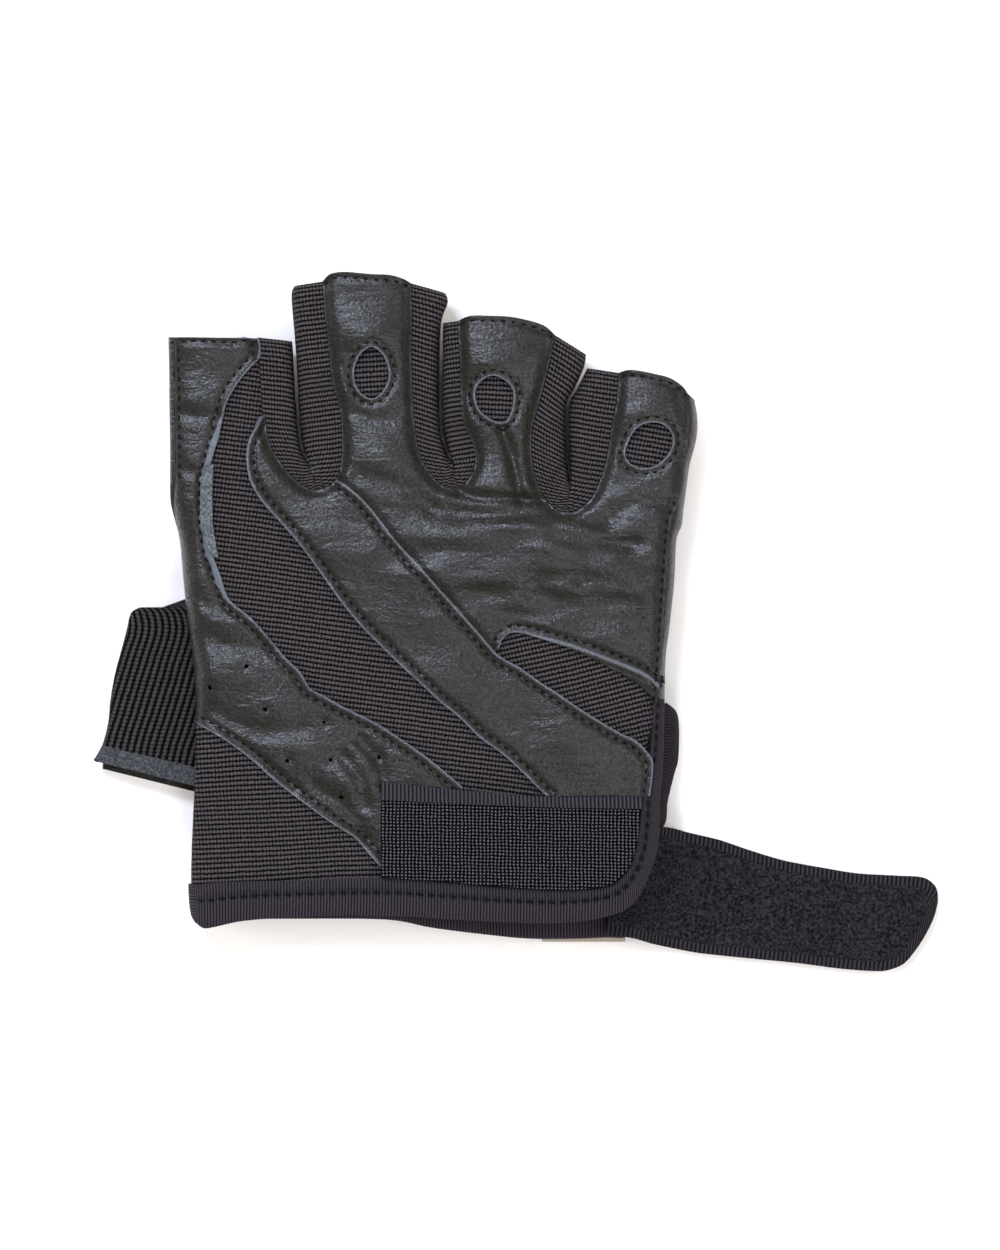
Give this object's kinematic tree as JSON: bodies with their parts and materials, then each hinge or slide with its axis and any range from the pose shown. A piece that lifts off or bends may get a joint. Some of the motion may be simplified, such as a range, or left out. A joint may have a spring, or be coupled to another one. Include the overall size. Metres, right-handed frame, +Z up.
{
  "type": "fingerless sailing glove",
  "caption": "Right-hand fingerless sailing glove in black leather and ribbed stretch knit, with padded palm, bound cuff and a hook-and-loop wrist strap lying open.",
  "frame": {"origin": "middle of the palm, on the underside of the heel pad that the glove rests on", "axes": "+Y from the cuff to the fingertips, +X from the thumb side to the little finger side, +Z up from the palm to the back of the hand"},
  "size_m": [0.1922, 0.1596, 0.016],
  "materials": {
    "back_leather": "soft black leather with a low sheen and fine wrinkles",
    "palm_leather": "black grip leather, matt",
    "pad_leather": "black grip leather, matt",
    "suede": "suede side of the leather, napped",
    "foam": "closed-cell foam sheet",
    "rib_knit": "ribbed stretch knit",
    "hook_tape": "nylon hook tape",
    "ribbon": "ribbed grosgrain ribbon",
    "binding_tape": "folded twill binding tape",
    "label_ribbon": "woven satin ribbon",
    "elastic_web": "woven elastic with ribbed edges",
    "loop_pile": "brushed nylon loop pile"
  },
  "bodies": {
    "hand": {"palm_leather": "palm_leather", "thenar_leather": "back_leather", "back_knit": "rib_knit", "wrist_knit": "rib_knit", "thumb_side_leather": "back_leather", "diagonal_band": "back_leather", "main_back_leather": "back_leather", "thumb_side_wall": "back_leather", "little_side_wall": "palm_leather", "web_index_middle": "rib_knit", "web_middle_ring": "rib_knit", "web_ring_little": "rib_knit", "heel_pad_cover": "pad_leather", "heel_pad_foam": "foam", "finger_pad_cover": "pad_leather", "finger_pad_foam": "foam", "hook_patch": "hook_tape", "hook_ribbon": "ribbon", "cuff_binding_back": "binding_tape", "cuff_binding_palm": "binding_tape", "care_label": "label_ribbon", "strap_root": "elastic_web"},
    "index": {"index_leather": "back_leather", "index_knit": "rib_knit", "index_band_tip": "back_leather", "index_palm": "palm_leather", "index_side_wall": "back_leather", "index_gusset": "rib_knit"},
    "middle": {"middle_leather": "back_leather", "middle_window_knit": "rib_knit", "middle_palm": "palm_leather", "middle_gusset_left": "rib_knit", "middle_gusset_right": "rib_knit"},
    "ring": {"ring_leather": "back_leather", "ring_window_knit": "rib_knit", "ring_palm": "palm_leather", "ring_gusset_left": "rib_knit", "ring_gusset_right": "rib_knit"},
    "little": {"little_leather": "back_leather", "little_window_knit": "rib_knit", "little_palm": "palm_leather", "little_gusset": "rib_knit", "little_outer_wall": "back_leather"},
    "thumb": {"thumb_knit": "rib_knit", "thumb_leather": "palm_leather", "thumb_hem": "suede"},
    "strap": {"strap_web": "elastic_web", "strap_pile": "loop_pile"}
  },
  "joints": [
    {"name": "index_flex", "type": "hinge", "parent": "hand", "child": "index", "pos_m": [-0.046, 0.0395, 0.005], "axis": [-0.9976, -0.0698, 0], "range_deg": [-8, 60]},
    {"name": "middle_flex", "type": "hinge", "parent": "hand", "child": "middle", "pos_m": [-0.013, 0.042, 0.005], "axis": [-0.9976, -0.0698, 0], "range_deg": [-8, 60]},
    {"name": "ring_flex", "type": "hinge", "parent": "hand", "child": "ring", "pos_m": [0.0175, 0.0405, 0.005], "axis": [-0.999, 0.0436, 0], "range_deg": [-8, 60]},
    {"name": "little_flex", "type": "hinge", "parent": "hand", "child": "little", "pos_m": [0.045, 0.0315, 0.005], "axis": [-0.9848, 0.1736, 0], "range_deg": [-8, 60]},
    {"name": "thumb_swing", "type": "hinge", "parent": "hand", "child": "thumb", "pos_m": [-0.0473, -0.0011, 0.0035], "axis": [0, 0, -1], "range_deg": [0, 60]},
    {"name": "strap_fold", "type": "hinge", "parent": "hand", "child": "strap", "pos_m": [0.0545, -0.061, 0.00915], "axis": [-0.153, -0.9882, 0], "range_deg": [0, 180]}
  ]
}
